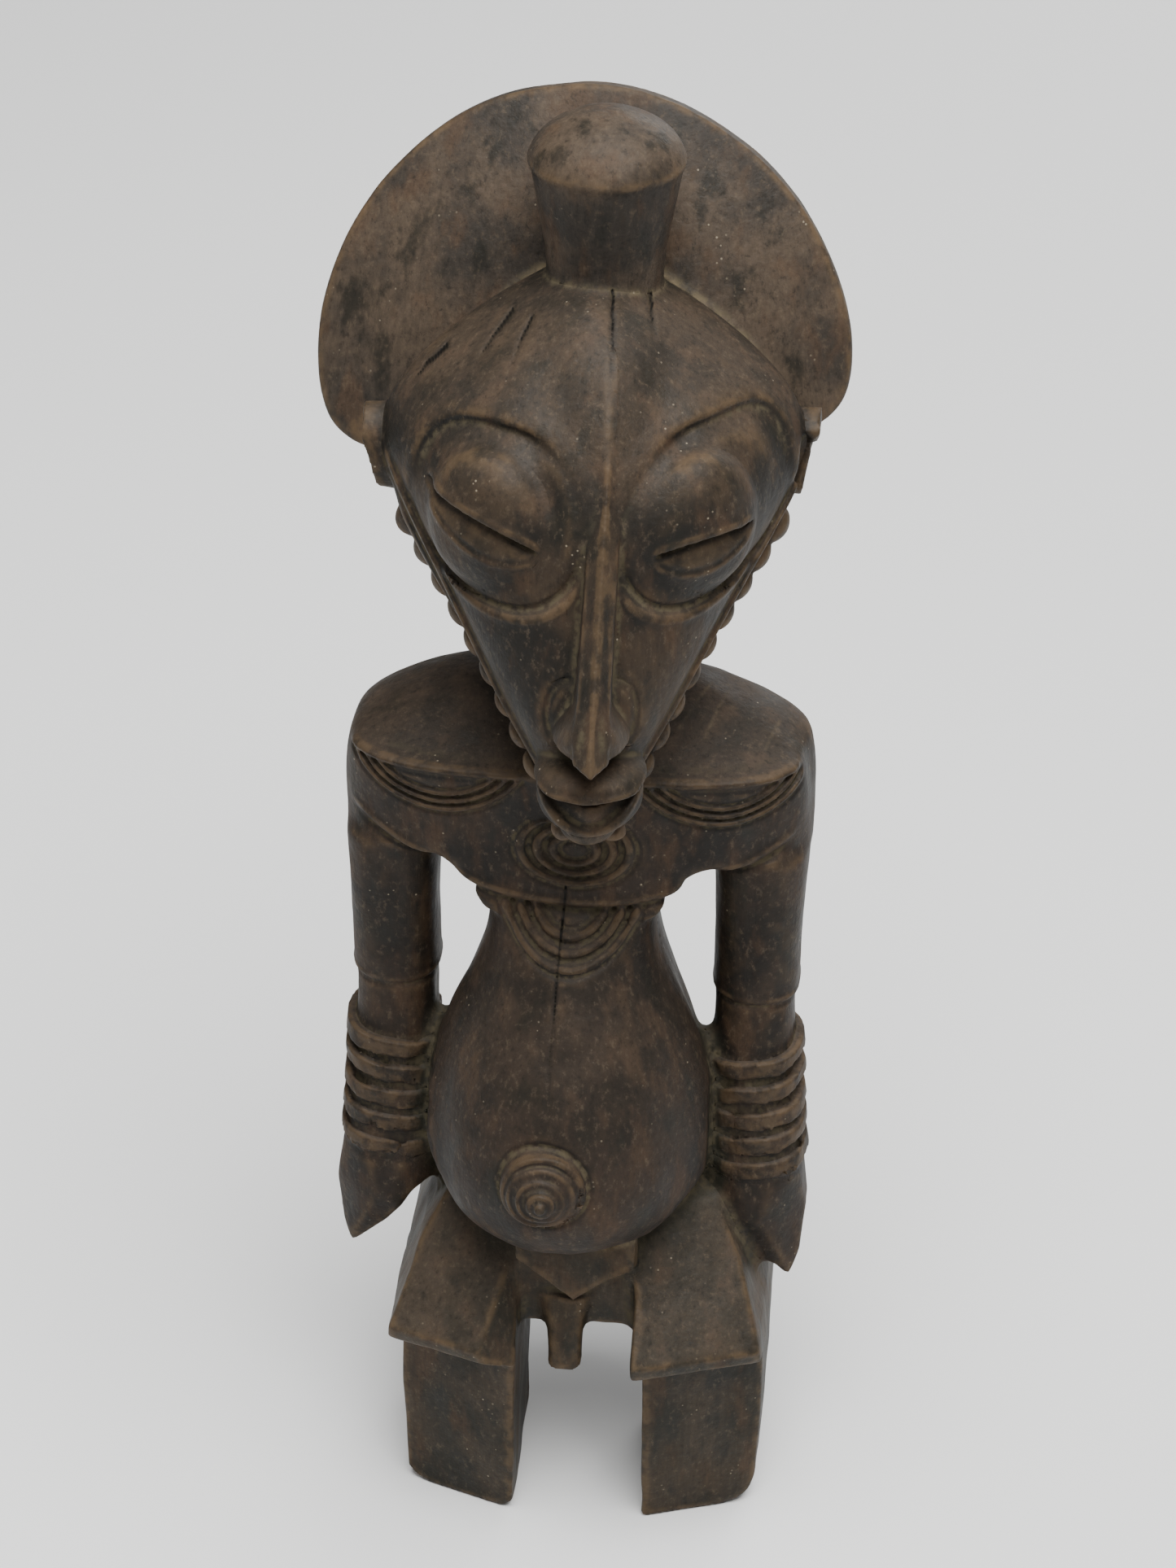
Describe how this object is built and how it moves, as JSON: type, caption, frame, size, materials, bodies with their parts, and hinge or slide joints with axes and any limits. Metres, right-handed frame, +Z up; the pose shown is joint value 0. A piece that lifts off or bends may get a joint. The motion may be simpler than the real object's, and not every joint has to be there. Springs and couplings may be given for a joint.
{
  "type": "carved standing figure",
  "caption": "Standing bearded male figure carved from one dark block of wood, with a round crest and a hair knot, hands at the hips, resting on two flat soles.",
  "frame": {"origin": "middle of the bounding box, on the plane that the two soles stand on", "axes": "+Z up, the figure looks along -Y, its left hand is at +X"},
  "size_m": [0.1472, 0.1396, 0.441],
  "materials": {
    "body_wood": "dark brown hand-rubbed patina, satin, dust in the cuts",
    "face_wood": "dark brown polished patina with reddish wear on the high places",
    "hair_wood": "mottled brown patina, tool-worn, dusty where it meets the head",
    "leg_wood": "rougher dark brown patina, greenish grey dust in the hollows"
  },
  "bodies": {
    "root": {"belly": "body_wood", "crest": "hair_wood", "hair_knot": "hair_wood", "head": "face_wood", "left_beard": "hair_wood", "left_bracelets": "body_wood", "left_ear": "face_wood", "left_eye": "face_wood", "left_forearm": "body_wood", "left_hand": "body_wood", "left_shin": "leg_wood", "left_thigh": "leg_wood", "left_upper_arm": "body_wood", "loin_apron": "leg_wood", "loin_block": "leg_wood", "loin_peg": "leg_wood", "lower_lip": "face_wood", "navel": "body_wood", "neck": "face_wood", "nose": "face_wood", "right_beard": "hair_wood", "right_bracelets": "body_wood", "right_ear": "face_wood", "right_eye": "face_wood", "right_forearm": "body_wood", "right_hand": "body_wood", "right_shin": "leg_wood", "right_thigh": "leg_wood", "right_upper_arm": "body_wood", "shoulders": "body_wood", "trunk": "body_wood", "upper_lip": "face_wood"}
  },
  "joints": []
}
